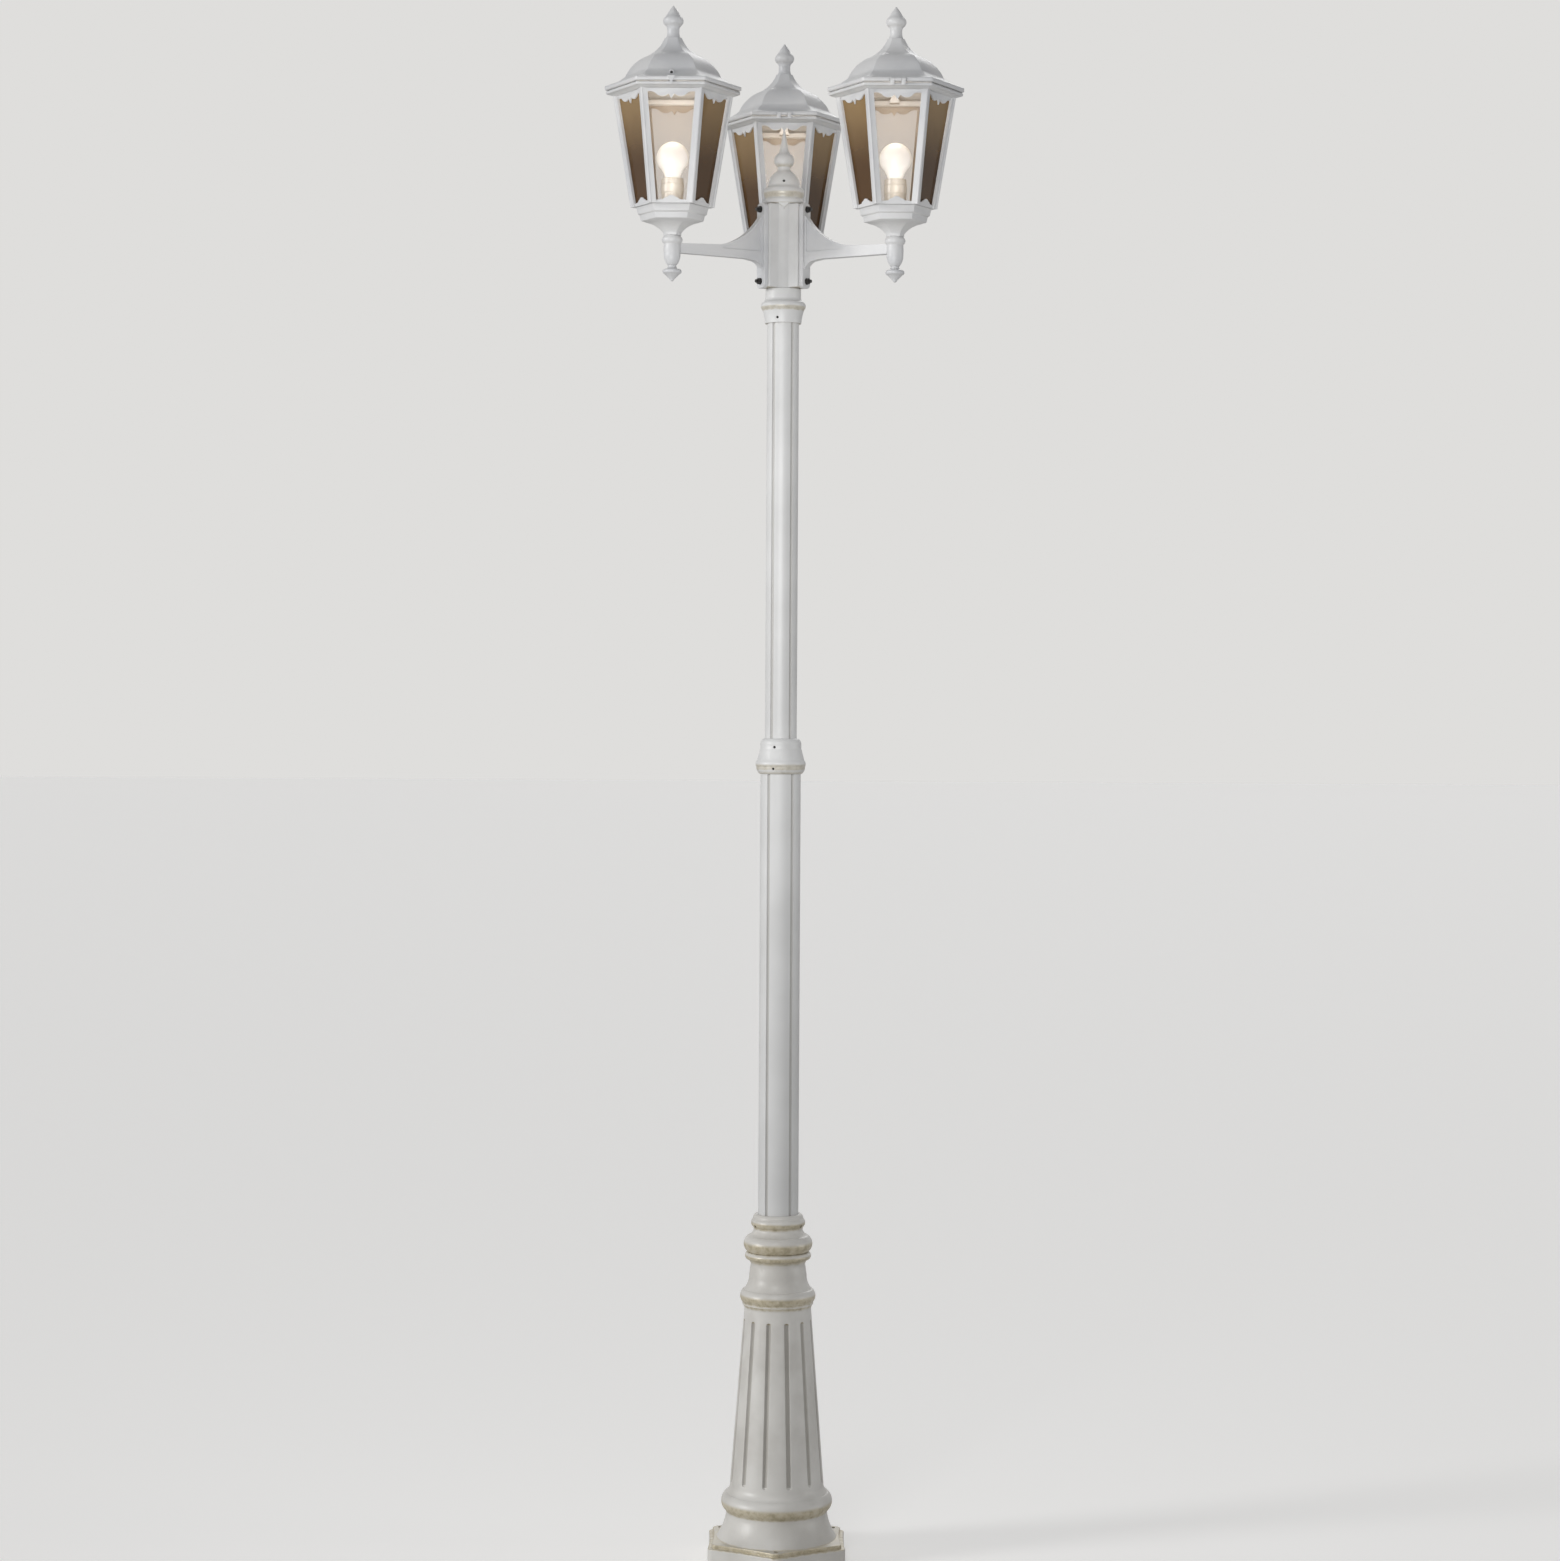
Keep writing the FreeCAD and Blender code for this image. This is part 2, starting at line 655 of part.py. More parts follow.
def roof():
    wall = roof_wall / cos30
    outer = [
        (16, 2838), ((27.8, 2819), (50, 2803.5)), ((73.5, 2788), (88.5, 2766)),
        ((104, 2755.4), (122, 2748.6)), ((roof_rim_r, 2744.6), (124, roof_foot))]
    inner = [
        (119, roof_foot), (118, 2743.6), ((101, 2751.5), (88.5 - wall, 2761)),
        ((73.5 - wall, 2782.5), (50 - wall, 2798.8)), (16, 2815)]
    shell = hexagonal(outer + inner)
    peak = hexagonal([(0, 2812), (17.5, 2812), (17.5, 2834), (16, 2838), (0, 2838)])
    boss_end = -latch_reach - latch_gap
    boss = rod(FreeCAD.Vector(0, -86, latch_screw_z), FreeCAD.Vector(0, boss_end, latch_screw_z), 5.0)
    round_plan = rounded_hexagon(roof_rim_r, 9.0, roof_foot - 20, 2850)
    casting = one([shell, peak, boss]).common(round_plan)
    notch_half = lug_outer + 1.5
    notch_low = (-notch_half, hinge_reach - 4.4, roof_foot - 1)
    casting = casting.cut(block(notch_low, (notch_half, hinge_reach + 9, 2750)))
    barrel = rod(FreeCAD.Vector(-knuckle_half, hinge_reach, hinge_z),
                 FreeCAD.Vector(knuckle_half, hinge_reach, hinge_z), knuckle_r)
    web = block((-knuckle_half, 104, hinge_z - 1.6), (knuckle_half, hinge_reach, hinge_z + 3.2))
    casting = one([casting, barrel, web, latch_nib()])
    casting = casting.cut(hinge_rod(hinge_pin_r + hinge_clearance))
    hole_end = FreeCAD.Vector(0, boss_end + 1, latch_screw_z)
    screw_hole = rod(FreeCAD.Vector(0, -110, latch_screw_z), hole_end, 2.6)
    spigot_hole = rod(FreeCAD.Vector(0, 0, 2820), FreeCAD.Vector(0, 0, 2840), 5.0)
    return casting.cut(screw_hole).cut(spigot_hole)


def latch_nib():
    points = [(-7, 2748.5), (7, 2748.5), (2.6, 2739), (2.2, 2734), (0, 2731.5), (-2.2, 2734), (-2.6, 2739)]
    corners = [FreeCAD.Vector(x, -109.6, z) for x, z in points]
    return Part.Face(Part.makePolygon(corners + corners[:1])).extrude(FreeCAD.Vector(0, -3.6, 0))


def roof_screw():
    screw = rod(FreeCAD.Vector(0, -84, latch_screw_z), FreeCAD.Vector(0, -74, latch_screw_z), 2.5)
    socket = rod(FreeCAD.Vector(0, -85, latch_screw_z), FreeCAD.Vector(0, -81, latch_screw_z), 1.3)
    return screw.cut(socket)


def roof_finial():
    return turned([
        (0, 2824), (4.9, 2824), (4.9, 2838.3), (13.6, 2838.3), ((11.8, 2843), (11.2, 2850)),
        ((11.6, 2856), (14.6, 2861)), ((18.8, 2868), (17, 2875)), ((12, 2881), (9, 2886.5)),
        (1.6, lantern_tip - 1.2), (0.7, lantern_tip), (0, lantern_tip)])


def lampholder():
    body = turned([
        (0, holder_foot), (18.5, holder_foot), (20, holder_foot + 2), (20.4, 2550), (holder_r, 2552),
        (holder_r, 2566), (20.4, 2568), (20.2, holder_top - 1.5),
        ((19.8, holder_top - 0.3), (18.6, holder_top)), (thread_sleeve_r + 0.2, holder_top),
        (thread_sleeve_r + 0.2, 2538), (0, 2538)])
    return body.cut(rod(FreeCAD.Vector(0, 0, 2520), FreeCAD.Vector(0, 0, 2540), nipple_r + 0.2))


def holder_contacts():
    sleeve = turned([
        (thread_sleeve_r, 2546), (thread_sleeve_r, 2574), (thread_sleeve_r - 1.2, 2574),
        (thread_sleeve_r - 1.2, 2546)])
    tongue = block((5.4, -4, 2538.2), (14.5, 4, 2539.4))
    rise = block((13.4, -4, 2538.2), (14.6, 4, 2546.5))
    centre = block((-14, -3, 2538.2), (-5.4, 3, 2539.2))
    spring = block((-6.6, -3, 2538.2), (-5.4, 3, 2541))
    pad = block((-6.6, -3, 2540.2), (3, 3, 2541))
    return one([sleeve, tongue, rise]).fuse(centre.fuse([spring, pad]))


def bulb_cap():
    steps = [(0, 2541.3), (4.5, 2541.3), (5.2, 2543.5), (9, 2546.5), (screw_cap_r - 1.2, 2548.5)]
    turn_z = 2549.5
    for k in range(5):
        steps.append((screw_cap_r - 1.2, turn_z))
        steps.append(((screw_cap_r, turn_z + 1.8), (screw_cap_r - 1.2, turn_z + 3.6)))
        turn_z += 3.8
    steps += [(screw_cap_r - 0.6, 2571), (screw_cap_r - 0.6, 2573.5), (0, 2573.5)]
    return turned(steps)


def bulb_glass():
    centre = bulb_top - bulb_r
    flank = bulb_r * math.cos(math.radians(32))
    flank_z = centre - bulb_r * math.sin(math.radians(32))
    return turned([
        (0, 2573.5), (13.4, 2573.5), (13.8, 2578), ((17.5, 2589), (flank, flank_z)),
        ((bulb_r, centre), (0, bulb_top))])


# Wiring and small metal parts that the lantern hides

def nipples():
    tube = turned([
        (nipple_bore_r, nipple_foot), (nipple_r - 0.02, nipple_foot), (nipple_r - 0.02, nipple_top),
        (nipple_bore_r, nipple_top)])
    return at_lanterns(tube)


def lock_nuts():
    nut = hexagon_prism(9.2, pan_top + 0.1, pan_top + 4.0)
    nut = nut.cut(rod(FreeCAD.Vector(0, 0, pan_top - 1), FreeCAD.Vector(0, 0, pan_top + 9), nipple_r))
    return at_lanterns(nut)


def hinge_pins():
    pins = []
    for side in arm_angles:
        pins.append(lantern_place(hinge_rod(hinge_pin_r - 0.03), side))
    return Part.makeCompound(pins)


def lamp_leads():
    start = FreeCAD.Vector(connector_r + 0.2, 0, bar_z)
    bend_start = FreeCAD.Vector(arm_reach - lead_bend, 0, bar_z)
    bend_middle = FreeCAD.Vector(arm_reach - lead_bend * (1 - math.sin(math.radians(45))), 0,
                                 bar_z + lead_bend * (1 - math.cos(math.radians(45))))
    bend_end = FreeCAD.Vector(arm_reach, 0, bar_z + lead_bend)
    end = FreeCAD.Vector(arm_reach, 0, nipple_top + 4)
    path = Part.Wire([
        Part.LineSegment(start, bend_start).toShape(),
        Part.Arc(bend_start, bend_middle, bend_end).toShape(),
        Part.LineSegment(bend_end, end).toShape()])
    ring = Part.Wire(Part.makeCircle(lead_r, start, FreeCAD.Vector(1, 0, 0)))
    lead = path.makePipeShell([ring], True, False)
    return Part.makeCompound([spun(lead, angle) for angle in arm_angles.values()])


def pole_cable():
    head = bar_z - connector_height / 2 - 0.2
    return rod(FreeCAD.Vector(0, 0, bracket_z + 33.2), FreeCAD.Vector(0, 0, head), pole_cable_r)


def terminal_bracket():
    strip = block((-87, -10, bracket_z + 0.2), (87, 10, bracket_z + 3.2))
    holes = [rod(FreeCAD.Vector(x, 0, bracket_z - 2), FreeCAD.Vector(x, 0, bracket_z + 9), 2.2)
             for x in (-80, 80)]
    return strip.cut(Part.makeCompound(holes))


def bracket_screws():
    screws = []
    for x in (-80, 80):
        head = Part.makeCylinder(4.0, 2.6, FreeCAD.Vector(x, 0, bracket_z + 3.3))
        screws.append(head.fuse(Part.makeCylinder(2.0, 3.4, FreeCAD.Vector(x, 0, bracket_z + 0.1))))
    return Part.makeCompound(screws)


def terminal_block():
    body = block((-22, -10, bracket_z + 3.3), (22, 10, bracket_z + 33))
    ways = [rod(FreeCAD.Vector(x, -12, bracket_z + 14), FreeCAD.Vector(x, 12, bracket_z + 14), 2.6)
            for x in (-14, 0, 14)]
    return body.cut(Part.makeCompound(ways))


def hub_connector():
    half = connector_height / 2
    return turned([
        (0, bar_z - half), (connector_r, bar_z - half), (connector_r, bar_z + half - 4),
        (9, bar_z + half), (0, bar_z + half)])


# Placing and writing

hinge_turn = {"left": 0.0, "right": 180.0, "rear": 180.0}


def lantern_place(piece, side):
    turned_piece = spun(piece, hinge_turn[side])
    return shifted(turned_piece, polar(arm_reach, arm_angles[side]))


def at_lanterns(piece):
    return Part.makeCompound([lantern_place(piece, side) for side in arm_angles])


def write(name, shape):
    shape.exportStep("parts/" + name + ".step")
    box = shape.BoundBox
    print("%-22s solids %d  z %.1f to %.1f  volume %.0f" % (
        name, len(shape.Solids), box.ZMin, box.ZMax, shape.Volume))
    if not shape.isValid():
        print("   not valid")


def main():
    os.makedirs("parts", exist_ok=True)
    for maker in (base_casting, base_collar, lower_tube, reducer_collar, upper_tube, hub_body, hub_cap,
                  set_screws, flange_studs, flange_washers, flange_nuts, nipples, lock_nuts, hinge_pins,
                  lamp_leads, pole_cable, terminal_bracket, bracket_screws, terminal_block, hub_connector):
        write(maker.__name__, maker())
    arm_piece = arm()
    arm_finial = shifted(lower_finial(), FreeCAD.Vector(arm_reach, 0, 0))
    for side, angle in arm_angles.items():
        write("arm_" + side, spun(arm_piece, angle))
        write("lower_finial_" + side, spun(arm_finial, angle))
    for maker in (pan, cage, glass_panes, roof, roof_screw, roof_finial, lampholder, holder_contacts,
                  bulb_cap, bulb_glass):
        piece = maker()
        for side in arm_angles:
            write(maker.__name__ + "_" + side, lantern_place(piece, side))


main()
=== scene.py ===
import bpy
import bmesh
import json
import math
from mathutils import Matrix, Vector


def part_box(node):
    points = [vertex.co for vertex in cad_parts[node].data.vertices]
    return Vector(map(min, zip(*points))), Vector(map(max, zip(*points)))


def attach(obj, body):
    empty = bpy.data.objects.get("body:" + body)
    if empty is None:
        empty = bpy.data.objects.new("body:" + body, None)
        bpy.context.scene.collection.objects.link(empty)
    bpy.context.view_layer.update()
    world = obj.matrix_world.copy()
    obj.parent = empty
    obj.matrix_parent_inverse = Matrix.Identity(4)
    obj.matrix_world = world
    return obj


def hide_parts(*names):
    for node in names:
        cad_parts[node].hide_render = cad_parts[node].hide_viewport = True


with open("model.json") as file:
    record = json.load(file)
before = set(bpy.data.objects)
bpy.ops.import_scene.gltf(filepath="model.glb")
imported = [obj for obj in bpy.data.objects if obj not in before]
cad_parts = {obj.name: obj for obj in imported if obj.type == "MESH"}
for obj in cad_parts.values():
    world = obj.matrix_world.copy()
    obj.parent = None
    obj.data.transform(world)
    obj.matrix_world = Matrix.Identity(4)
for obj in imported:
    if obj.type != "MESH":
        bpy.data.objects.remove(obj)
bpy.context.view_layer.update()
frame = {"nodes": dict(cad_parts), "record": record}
nodeSlot = {p["node"]: p["material_slot"] for p in frame["record"]["subparts"]}
sides = ("left", "right", "rear")
print("frame loaded:", len(frame["nodes"]), "nodes")


class Signal:  # a socket that can be used in sums
    def __init__(self, graph, socket):
        self.graph = graph
        self.socket = socket

    def maths(self, operation, *others):
        values = dict(enumerate((self,) + others))
        return self.graph.add("ShaderNodeMath", {"operation": operation}, values)

    def reflected(self, operation, other):
        return self.graph.add("ShaderNodeMath", {"operation": operation}, {0: other, 1: self})

    def __add__(self, other):
        return self.maths("ADD", other)

    def __sub__(self, other):
        return self.maths("SUBTRACT", other)

    def __mul__(self, other):
        return self.maths("MULTIPLY", other)

    def __truediv__(self, other):
        return self.maths("DIVIDE", other)

    def __radd__(self, other):
        return self.reflected("ADD", other)

    def __rsub__(self, other):
        return self.reflected("SUBTRACT", other)

    def __rmul__(self, other):
        return self.reflected("MULTIPLY", other)

    def __rtruediv__(self, other):
        return self.reflected("DIVIDE", other)

    def within(self, low, high):  # a smooth step from 0 at low to 1 at high
        settings = {"interpolation_type": "SMOOTHSTEP"}
        values = {"Value": self, "From Min": low, "From Max": high}
        return self.graph.add("ShaderNodeMapRange", settings, values)


class Graph:
    def __init__(self, owner):  # a material or the world
        self.owner = owner
        owner.use_nodes = True
        self.tree = owner.node_tree
        self.tree.nodes.clear()

    def add(self, kind, settings=None, values=None, output=0):
        node = self.tree.nodes.new(kind)
        for key, value in (settings or {}).items():
            setattr(node, key, value)
        for key, value in (values or {}).items():
            if isinstance(value, Signal):
                self.tree.links.new(value.socket, node.inputs[key])
            else:
                node.inputs[key].default_value = value
        if not node.outputs:
            return None
        return Signal(self, node.outputs[output])

    def place(self):
        return self.add("ShaderNodeTexCoord", output="Object")

    def along(self, axis):
        return self.add("ShaderNodeSeparateXYZ", values={0: self.place()}, output=axis)

    def facing(self):  # 1 where the surface faces up, -1 where it faces down
        normal = self.add("ShaderNodeTexCoord", output="Normal")
        return self.add("ShaderNodeSeparateXYZ", values={0: normal}, output="Z")

    def noise(self, scale, detail=3.0, roughness=0.5):
        values = {"Vector": self.place(), "Scale": scale, "Detail": detail, "Roughness": roughness}
        return self.add("ShaderNodeTexNoise", None, values)

    def blend(self, share, first, second):
        return self.add("ShaderNodeMix", {"data_type": "RGBA"}, {0: share, 6: first, 7: second}, output=2)

    def bump(self, height, strength, distance):
        values = {"Height": height, "Strength": strength, "Distance": distance}
        return self.add("ShaderNodeBump", None, values)

    def surface(self, values):
        shader = self.add("ShaderNodeBsdfPrincipled", None, values)
        self.add("ShaderNodeOutputMaterial", None, {"Surface": shader})
        return self.owner


def newFinish(name):
    return Graph(bpy.data.materials.new(name))


def newObject(name, data):
    thing = bpy.data.objects.new(name, data)
    bpy.context.scene.collection.objects.link(thing)
    return thing


def rgb(red, green, blue):  # a screen colour, 0 to 255, made linear
    return tuple((c / 255.0) ** 2.2 for c in (red, green, blue)) + (1.0,)


# a band is its height and half its width, a groove is its foot, head, the radius at each, and its depth;
# grooves are darkened with painted shade
enamels = {
    "pole": {
        "light": rgb(211, 209, 204), "shade": rgb(192, 189, 183), "goldShare": 0.75, "from": 0.1, "to": 0.6,
        "bands": ((0.036, 0.005), (0.099, 0.011), (0.488, 0.009), (0.5645, 0.007), (0.585, 0.011),
                  (0.626, 0.007)),
        "grooves": ((0.1475, 0.4495, 0.0875, 0.0644, 0.0038),)},
    "hub": {
        "light": rgb(212, 212, 211), "shade": rgb(199, 199, 198), "goldShare": 0.5, "from": 0.3, "to": 0.8,
        "bands": ((1.4885, 0.006), (2.3515, 0.0045), (2.5645, 0.006)), "grooves": ()},
    "lantern": {
        "light": rgb(208, 208, 208), "shade": rgb(193, 194, 196), "goldShare": 0.08, "from": 0.3, "to": 0.9,
        "bands": (), "grooves": ()}}
patina = {"gold": rgb(188, 174, 138), "olive": rgb(150, 137, 102), "broad": 9.0, "speck": 90.0,
          "grain": 420.0, "waver": 0.0025, "roughness": 0.40}
# painted shade for grooves: the darker colour laid deep in the flutes, and how much of it the castings and
# the tubes get
grooveShade = {"colour": rgb(128, 123, 114), "onCastings": 0.55, "onTubes": 0.45, "fade": 0.002}


def goldOnRings(g, speck, mask, bands):
    height = g.along("Z") + speck * (2 * patina["waver"]) - patina["waver"]
    for centre, half in bands:
        near = ((height - centre).maths("ABSOLUTE") / half).within(1.2, 0.5)
        mask = mask.maths("MAXIMUM", near)
    return mask


def sunkShare(g, low, high, lowRadius, highRadius, depth):  # 1 deep in a groove, 0 on the round
    across, along, height = (g.along(axis) for axis in "XYZ")
    reach = (across * across + along * along).maths("SQRT")
    values = {"Value": height, "From Min": low, "From Max": high, "To Min": lowRadius, "To Max": highRadius}
    rim = g.add("ShaderNodeMapRange", None, values)
    span = height.within(low, low + grooveShade["fade"]) * height.within(high, high - grooveShade["fade"])
    return (rim - reach).within(depth * 0.1, depth * 0.8) * span


# painted shade: darkens the colour deep in each groove
def shadeInGrooves(g, colour, grooves, share):
    for groove in grooves:
        colour = g.blend(sunkShare(g, *groove) * share, colour, grooveShade["colour"])
    return colour


def castEnamel(name, look):
    g = newFinish(name)
    broad = g.noise(patina["broad"], 4.0)
    speck = g.noise(patina["speck"], 5.0, 0.65)
    grain = g.noise(patina["grain"], 2.0)
    downward = speck * 0.24 - 0.12 - g.facing()  # gold lies on what faces down
    rubbed = goldOnRings(g, speck, downward.within(look["from"], look["to"]), look["bands"])
    mask = rubbed * (speck.within(0.3, 0.6) * 0.35 + 0.65) * look["goldShare"]
    white = g.blend(broad.within(0.35, 0.7), look["light"], look["shade"])
    # painted shade in the column's flutes
    base = shadeInGrooves(g, white, look["grooves"], grooveShade["onCastings"])
    gold = g.blend(speck.within(0.42, 0.7), patina["gold"], patina["olive"])
    return g.surface({
        "Base Color": g.blend(mask, base, gold),
        "Roughness": mask * -0.06 + broad * 0.08 + (patina["roughness"] - 0.04),
        "Metallic": mask * 0.3,
        "Normal": g.bump(grain * 0.7 + speck * 0.3, 0.18, 0.0006)})


# the tube grooves listed here are darkened with painted shade
tubePaint = {"light": rgb(214, 214, 213), "shade": rgb(200, 200, 199), "broad": 5.0, "fine": 260.0,
             "grooves": ((0.500, 1.492, 0.038, 0.038, 0.0028), (1.497, 2.600, 0.030, 0.030, 0.0028))}


def tubeEnamel():
    g = newFinish("tubeEnamel")
    broad = g.noise(tubePaint["broad"])
    fine = g.noise(tubePaint["fine"], 2.0)
    white = g.blend(broad.within(0.3, 0.7), tubePaint["light"], tubePaint["shade"])
    # the base colour gets painted shade in the tube's grooves
    return g.surface({
        "Base Color": shadeInGrooves(g, white, tubePaint["grooves"], grooveShade["onTubes"]),
        "Roughness": broad * 0.1 + 0.3, "Normal": g.bump(fine, 0.1, 0.0003)})


def steelFinish(name, light, dark, roughness):
    g = newFinish(name)
    patches = g.noise(140.0, 4.0, 0.6)
    fine = g.noise(900.0, 2.0)
    return g.surface({
        "Base Color": g.blend(patches.within(0.35, 0.7), light, dark), "Metallic": 0.85,
        "Roughness": patches * 0.2 + (roughness - 0.1), "Normal": g.bump(fine, 0.15, 0.0001)})


def plainMatt(name, light, dark, roughness, scale):
    g = newFinish(name)
    patches = g.noise(scale, 3.0)
    fine = g.noise(scale * 8, 2.0)
    return g.surface({
        "Base Color": g.blend(patches.within(0.35, 0.7), light, dark),
        "Roughness": patches * 0.1 + (roughness - 0.05), "Normal": g.bump(fine, 0.1, 0.0001)})


# glass tint, plus painted shade on the panes: the brown runs from the deep colour at the bottom to a paler
# colour at the top, between the heights from and to
tintAndShade = {"tan": rgb(176, 146, 108), "deep": rgb(78, 55, 30), "paintedLitUpper": rgb(138, 114, 80), "clearest": 0.12,
        "densest": 0.86, "from": 2.60, "to": 2.73}


def lanternGlass():
    g = newFinish("lanternGlass")
    slant = g.add("ShaderNodeLayerWeight", None, {"Blend": 0.5}, output="Facing")
    wave = g.noise(7.0, 2.0)
    streak = g.noise(28.0)
    depth = slant.within(0.05, 0.5)  # glass seen at a slant looks denser
    cover = depth * (tintAndShade["densest"] - tintAndShade["clearest"]) + tintAndShade["clearest"] + streak * 0.03
    # painted shade: the brown is paler at the top of the panes and deeper towards the bottom
    height = g.along("Z") + streak * 0.02
    paintedShadeBrown = g.blend(height.within(tintAndShade["from"], tintAndShade["to"]), tintAndShade["deep"], tintAndShade["paintedLitUpper"])
    return g.surface({
        "Base Color": g.blend(depth, tintAndShade["tan"], paintedShadeBrown), "Roughness": streak * 0.05 + 0.05,
        "Specular IOR Level": 0.22, "Alpha": cover, "Normal": g.bump(wave, 0.12, 0.002)})


glow = {"light": rgb(250, 246, 236), "shade": rgb(240, 234, 220), "lit": rgb(250, 252, 255),
        "rim": rgb(186, 184, 180), "strength": 0.58}


def litBulb():
    g = newFinish("litBulb")
    slant = g.add("ShaderNodeLayerWeight", None, {"Blend": 0.4}, output="Facing")
    frost = g.noise(60.0, 2.0)
    edge = slant.within(0.2, 0.95)
    return g.surface({
        "Base Color": g.blend(frost, glow["light"], glow["shade"]), "Roughness": frost * 0.1 + 0.3,
        "Emission Color": g.blend(edge, glow["lit"], glow["rim"]), "Emission Strength": glow["strength"],
        "Normal": g.bump(frost, 0.05, 0.0002)})


finishes = {
    "painted_casting": castEnamel("castEnamel", enamels["pole"]),
    "painted_tube": tubeEnamel(),
    "dark_steel": plainMatt("blackSteel", rgb(44, 42, 40), rgb(28, 27, 26), 0.34, 140.0),
    "zinc_steel": steelFinish("zincSteel", rgb(178, 178, 174), rgb(150, 150, 147), 0.35),
    "cable_rubber": plainMatt("cableSheath", rgb(38, 38, 38), rgb(28, 28, 28), 0.65, 60.0),
    "terminal_plastic": plainMatt("terminalPlastic", rgb(214, 210, 198), rgb(204, 200, 188), 0.5, 40.0),
    "tinted_glass": lanternGlass(),
    "ceramic": plainMatt("glazedCeramic", rgb(238, 234, 225), rgb(228, 223, 212), 0.22, 30.0),
    "brass": steelFinish("bareBrass", rgb(196, 160, 92), rgb(170, 136, 76), 0.3),
    "lamp_cap": steelFinish("lampCap", rgb(205, 205, 202), rgb(184, 184, 182), 0.28),
    "bulb_glass": litBulb()}


headEnamels = {"lantern": castEnamel("lanternEnamel", enamels["lantern"]),
               "hub": castEnamel("hubEnamel", enamels["hub"])}
headCastings = {"arm_": "lantern", "lower_finial_": "lantern", "pan_": "lantern", "cage_": "lantern",
                "roof_": "lantern", "hub_": "hub", "reducer_collar": "hub"}


def dress(piece, slot):
    finish = finishes[slot]
    if slot == "painted_casting":
        for start, look in headCastings.items():
            if piece.name.startswith(start):
                finish = headEnamels[look]
    piece.data.materials.clear()
    piece.data.materials.append(finish)


for name, piece in frame["nodes"].items():
    dress(piece, nodeSlot[name])
print("finishes given to every CAD node")


soften = {"base_casting": 0.0012, "base_collar": 0.0008, "reducer_collar": 0.0006, "hub_body": 0.0010,
          "hub_cap": 0.0006, "arm": 0.0013, "lower_finial": 0.0005, "pan": 0.0008, "cage": 0.0006,
          "roof": 0.0008, "roof_finial": 0.0005}
edging = {"merge": 0.00001, "flatBelow": 0.6, "steps": 2, "roundAbove": 35, "sharpAbove": 38}


def bodyOf(node):
    return next(b for b, nodes in frame["record"]["behaviour"]["bodies"].items() if node in nodes)


def softened(node, width):
    mesh = frame["nodes"][node].data.copy()
    work = bmesh.new()
    work.from_mesh(mesh)
    bmesh.ops.remove_doubles(work, verts=work.verts, dist=edging["merge"])
    flat = math.radians(edging["flatBelow"])
    bmesh.ops.dissolve_limit(work, angle_limit=flat, verts=work.verts, edges=work.edges)
    work.to_mesh(mesh)
    work.free()
    mesh.name = node + "_softened"
    piece = newObject(node + "_softened", mesh)
    bevel = piece.modifiers.new("roundedEdges", "BEVEL")
    bevel.width = width
    bevel.segments = edging["steps"]
    bevel.limit_method = "ANGLE"
    bevel.angle_limit = math.radians(edging["roundAbove"])
    bevel.use_clamp_overlap = True
    mesh.shade_smooth()
    mesh.set_sharp_from_angle(angle=math.radians(edging["sharpAbove"]))
    dress(piece, nodeSlot[node])
    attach(piece, bodyOf(node))
    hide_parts(node)


for kind, width in soften.items():
    nodes = [kind] if kind in frame["nodes"] else [kind + "_" + side for side in sides]
    for node in nodes:
        softened(node, width)
print("castings softened")


def growTree(name, sizes, build):
    tree = bpy.data.node_groups.new(name, "GeometryNodeTree")
    tree.interface.new_socket("Geometry", in_out="INPUT", socket_type="NodeSocketGeometry")
    for label in sizes:
        tree.interface.new_socket(label, in_out="INPUT", socket_type="NodeSocketFloat")
    tree.interface.new_socket("Geometry", in_out="OUTPUT", socket_type="NodeSocketGeometry")
    start = tree.nodes.new("NodeGroupInput")
    end = tree.nodes.new("NodeGroupOutput")
    last = build(tree, start)
    real = tree.nodes.new("GeometryNodeRealizeInstances")
    paint = tree.nodes.new("GeometryNodeSetMaterial")
    tree.links.new(last, real.inputs[0])
    tree.links.new(real.outputs[0], paint.inputs["Geometry"])
    tree.links.new(paint.outputs[0], end.inputs[0])
    return tree, paint


def ringsAlong(tree, start):
    path = tree.nodes.new("GeometryNodeMeshToCurve")
    spread = tree.nodes.new("GeometryNodeResampleCurve")
    spread.mode = "LENGTH"
    around = tree.nodes.new("GeometryNodeCurvePrimitiveCircle")
    around.inputs["Resolution"].default_value = 20
    section = tree.nodes.new("GeometryNodeCurvePrimitiveCircle")
    section.inputs["Resolution"].default_value = 4
    ridge = tree.nodes.new("GeometryNodeCurveToMesh")
    tangent = tree.nodes.new("GeometryNodeInputTangent")
    turn = tree.nodes.new("FunctionNodeAlignRotationToVector")
    turn.axis = "Z"
    copies = tree.nodes.new("GeometryNodeInstanceOnPoints")
    tree.links.new(start.outputs["Geometry"], path.inputs[0])
    tree.links.new(path.outputs[0], spread.inputs["Curve"])
    tree.links.new(start.outputs["Pitch"], spread.inputs["Length"])
    tree.links.new(start.outputs["Stud radius"], around.inputs["Radius"])
    tree.links.new(start.outputs["Ridge radius"], section.inputs["Radius"])
    tree.links.new(around.outputs[0], ridge.inputs["Curve"])
    tree.links.new(section.outputs[0], ridge.inputs["Profile Curve"])
    tree.links.new(tangent.outputs[0], turn.inputs["Vector"])
    tree.links.new(spread.outputs[0], copies.inputs["Points"])
    tree.links.new(ridge.outputs[0], copies.inputs["Instance"])
    tree.links.new(turn.outputs[0], copies.inputs["Rotation"])
    return copies.outputs[0]


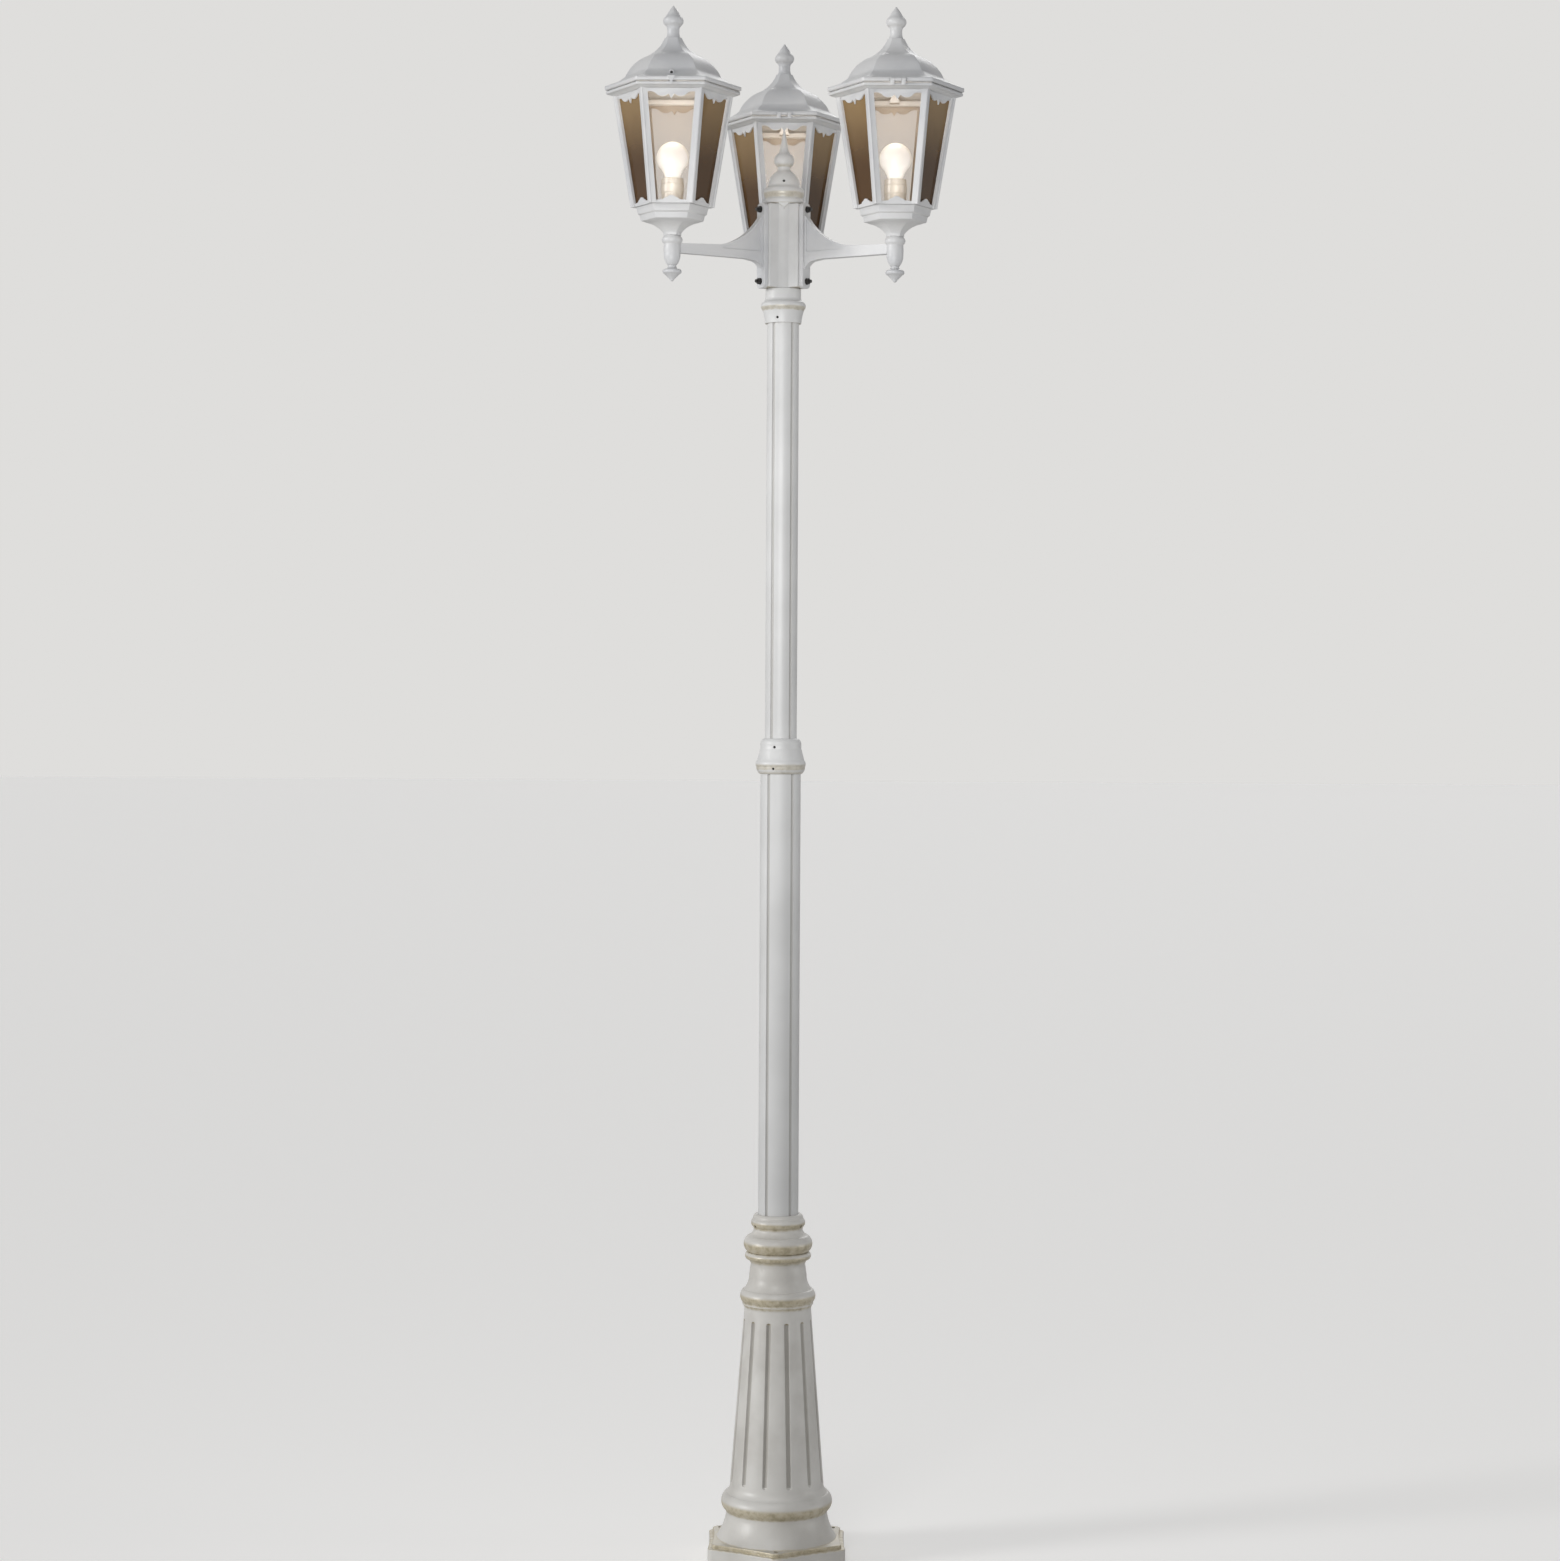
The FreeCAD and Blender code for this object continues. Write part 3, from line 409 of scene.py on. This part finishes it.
def grow(name, lines, sizes, build, material):
    mesh = bpy.data.meshes.new(name + "Lines")
    points = []
    edges = []
    for line in lines:
        first = len(points)
        points += line
        edges += [(first + i, first + i + 1) for i in range(len(line) - 1)]
    mesh.from_pydata(points, edges, [])
    source = newObject(name + "Source", mesh)
    tree, paint = growTree(name, sizes, build)
    paint.inputs["Material"].default_value = material
    growth = source.modifiers.new("growth", "NODES")
    growth.node_group = tree
    for item in tree.interface.items_tree:
        if item.in_out == "INPUT" and item.name in sizes:
            growth[item.identifier] = sizes[item.name]
    shown = source.evaluated_get(bpy.context.evaluated_depsgraph_get())
    plain = bpy.data.meshes.new_from_object(shown)
    source.modifiers.remove(growth)
    bpy.data.objects.remove(source)
    plain.name = name
    plain.shade_smooth()
    piece = newObject(name, plain)
    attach(piece, "post")


studs = {"angles": (210, 330, 90), "heights": (2.401, 2.536), "shown": 0.0030, "endGap": 0.0004,
         "sizes": {"Pitch": 0.0008, "Stud radius": 0.003, "Ridge radius": 0.00018}}


def studLines():
    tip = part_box("flange_studs")[1].y  # the rear studs point along +Y
    reaches = (tip - studs["shown"], tip - studs["endGap"])
    lines = []
    for angle in studs["angles"]:
        turn = math.radians(angle)
        for height in studs["heights"]:
            lines.append([(reach * math.cos(turn), reach * math.sin(turn), height) for reach in reaches])
    return lines


grow("studThreads", studLines(), studs["sizes"], ringsAlong, finishes["dark_steel"])
print("stud threads grown")


shot = {"distance": 6.27, "side": -0.0020, "height": 1.615, "roll": 0.32, "lens": 76.7, "sensor": 36.0,
        "shift": -0.0516}


def placeCamera():
    camera = newObject("camera", bpy.data.cameras.new("camera"))
    camera.data.lens = shot["lens"]
    camera.data.sensor_width = shot["sensor"]
    camera.data.shift_y = shot["shift"]
    spot = Matrix.Translation((shot["side"], -shot["distance"], shot["height"]))
    level = Matrix.Rotation(math.radians(90), 4, "X")
    roll = Matrix.Rotation(math.radians(shot["roll"]), 4, "Z")
    camera.matrix_world = spot @ level @ roll
    bpy.context.scene.camera = camera


studio = {"floorHalf": 60.0, "floorColour": rgb(240, 239, 237), "floorRoughness": 0.8,
          "floorLift": (0.25, 0.247, 0.242, 1.0), "world": rgb(222, 221, 219),
          "fillColour": rgb(246, 247, 250), "fill": 0.30}


def placeFloor():
    half = studio["floorHalf"]
    corners = [(-half, -half, 0), (half, -half, 0), (half, half, 0), (-half, half, 0)]
    mesh = bpy.data.meshes.new("floor")
    mesh.from_pydata(corners, [], [(0, 1, 2, 3)])
    floor = newObject("floor", mesh)
    g = newFinish("paleFloor")
    seen = g.add("ShaderNodeLightPath", output="Is Camera Ray")
    lift = g.blend(seen, (0.0, 0.0, 0.0, 1.0), studio["floorLift"])
    mesh.materials.append(g.surface({
        "Base Color": studio["floorColour"], "Roughness": studio["floorRoughness"],
        "Emission Color": lift, "Emission Strength": 1.0}))


def lightWorld():  # the pale ground is what is seen, and a weaker fill is what lights
    world = bpy.data.worlds.new("studio")
    bpy.context.scene.world = world
    g = Graph(world)
    ground = g.add("ShaderNodeBackground", None, {"Color": studio["world"]})
    fill = g.add("ShaderNodeBackground", None, {"Color": studio["fillColour"], "Strength": studio["fill"]})
    seen = g.add("ShaderNodeLightPath", output="Is Camera Ray")
    for kind in ("Is Glossy Ray", "Is Transmission Ray"):
        seen = seen.maths("MAXIMUM", g.add("ShaderNodeLightPath", output=kind))
    mixed = g.add("ShaderNodeMixShader", None, {0: seen, 1: fill, 2: ground})
    g.add("ShaderNodeOutputWorld", None, {"Surface": mixed})


softLamps = {"left": {"from": (-5.0, -1.8, 1.2), "spread": 14.0, "strength": 1.35},
             "right": {"from": (5.2, -0.8, 0.2), "spread": 20.0, "strength": 0.40},
             "back": {"from": (0.8, 5.0, 3.2), "spread": 26.0, "strength": 0.42}}
headLamp = {"at": (-0.35, -1.9, 1.95), "aim": (0.0, 0.0, 2.5), "size": 0.9, "power": 19.0}
bulbLamps = {"above": {"lift": 0.066, "forward": 0.0, "power": 0.30, "radius": 0.040,
                       "colour": (1.0, 0.91, 0.79)},
             "beside": {"lift": -0.085, "forward": 0.054, "power": 0.035, "radius": 0.012,
                        "colour": (1.0, 0.98, 0.95)}}


def newLamp(name, kind, energy):
    lamp = bpy.data.lights.new(name, kind)
    lamp.energy = energy
    return lamp, newObject(name, lamp)


def pointAlong(holder, direction):
    holder.rotation_euler = direction.to_track_quat("-Z", "Y").to_euler()


def placeLights():
    for name, kind in softLamps.items():
        lamp, holder = newLamp("lamp_" + name, "SUN", kind["strength"])
        lamp.angle = math.radians(kind["spread"])
        pointAlong(holder, -Vector(kind["from"]))
    lamp, holder = newLamp("lamp_head", "AREA", headLamp["power"])
    lamp.size = headLamp["size"]
    holder.location = headLamp["at"]
    pointAlong(holder, Vector(headLamp["aim"]) - Vector(headLamp["at"]))
    holder.visible_camera = False
    for side in sides:
        low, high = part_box("bulb_glass_" + side)
        centre = (low + high) / 2
        for name, kind in bulbLamps.items():
            lamp, holder = newLamp("bulb_" + name + "_" + side, "POINT", kind["power"])
            lamp.color = kind["colour"]
            lamp.shadow_soft_size = kind["radius"]
            holder.location = (centre.x, centre.y - kind["forward"], high.z + kind["lift"])


placeCamera()
placeFloor()
lightWorld()
placeLights()
bpy.context.scene.view_settings.view_transform = "Standard"
print("camera, floor and light placed")
